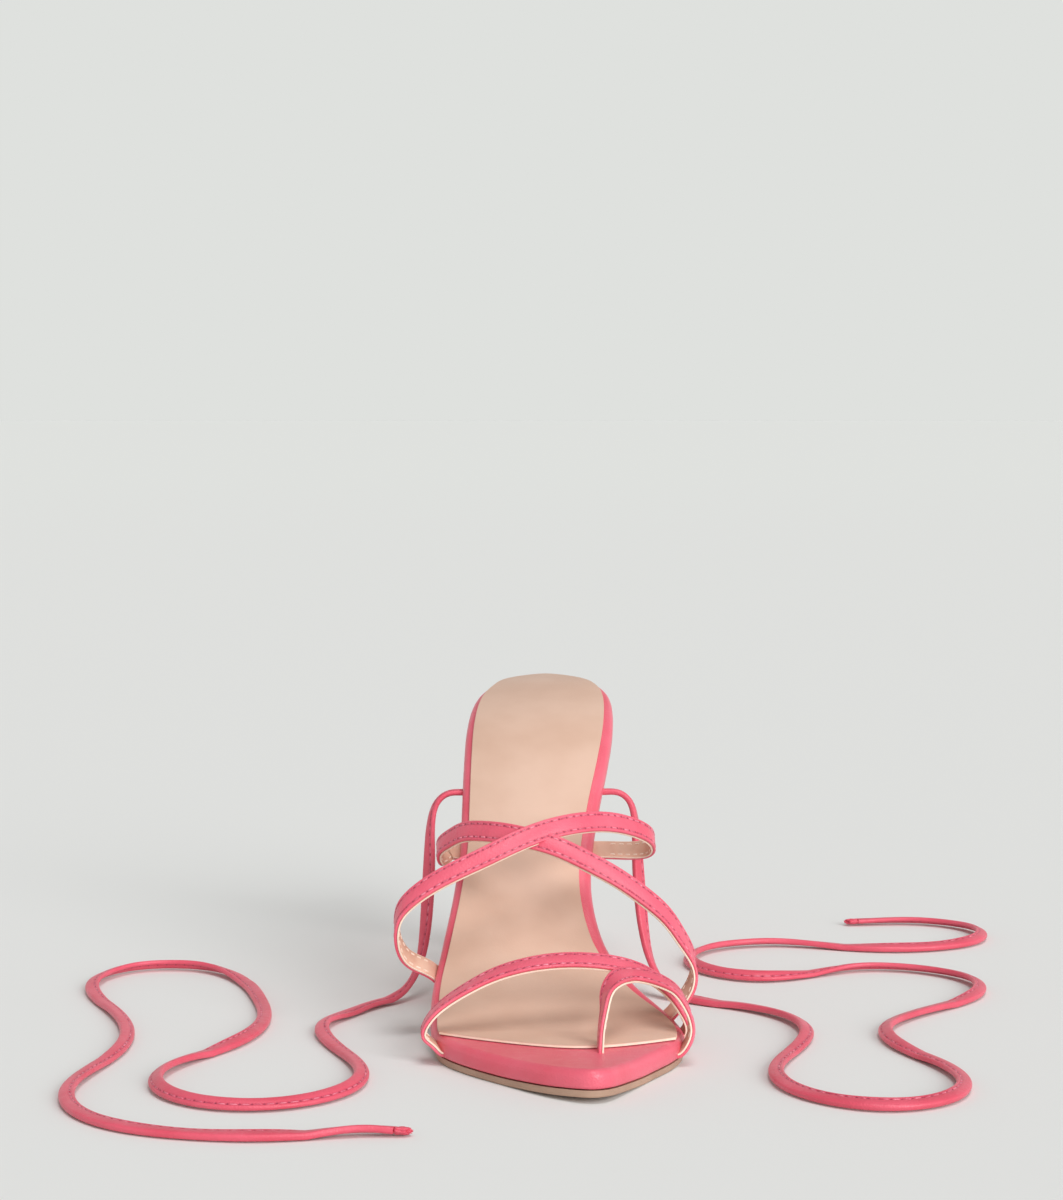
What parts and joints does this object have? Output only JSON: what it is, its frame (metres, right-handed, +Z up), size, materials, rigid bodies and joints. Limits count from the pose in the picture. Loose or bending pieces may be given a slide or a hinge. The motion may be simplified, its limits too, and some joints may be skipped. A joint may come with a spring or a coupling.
{
  "type": "lace up heeled sandal",
  "caption": "Open strappy stiletto sandal for the right foot, with a toe loop, crossed instep straps and long narrow ankle laces lying loose beside it.",
  "frame": {"origin": "on the floor plane, at the middle of the forefoot's flat tread, under the shoe's centre line", "axes": "+Z up, +Y from the toe to the heel, +X to the big toe's side (medial), so the toe points to -Y"},
  "size_m": [0.3461, 0.3136, 0.1081],
  "materials": {
    "outsole": "satin taupe moulded sole",
    "footbed_wrap": "smooth pink wrap, soft gloss",
    "insole": "smooth nude insole",
    "heel_wrap": "smooth pink wrap, soft gloss",
    "top_piece": "matt tan heel tip",
    "straps": "smooth pink straps, stitched, nude lining",
    "laces": "narrow folded pink laces, stitched"
  },
  "bodies": {
    "root": {"outsole": "outsole", "footbed_board": "footbed_wrap", "insole": "insole", "heel": "heel_wrap", "heel_top_piece": "top_piece", "toe_straps": "straps", "instep_straps": "straps", "lace_lateral": "laces", "lace_lateral_tip": "laces", "lace_medial": "laces", "lace_medial_tip": "laces"}
  },
  "joints": []
}
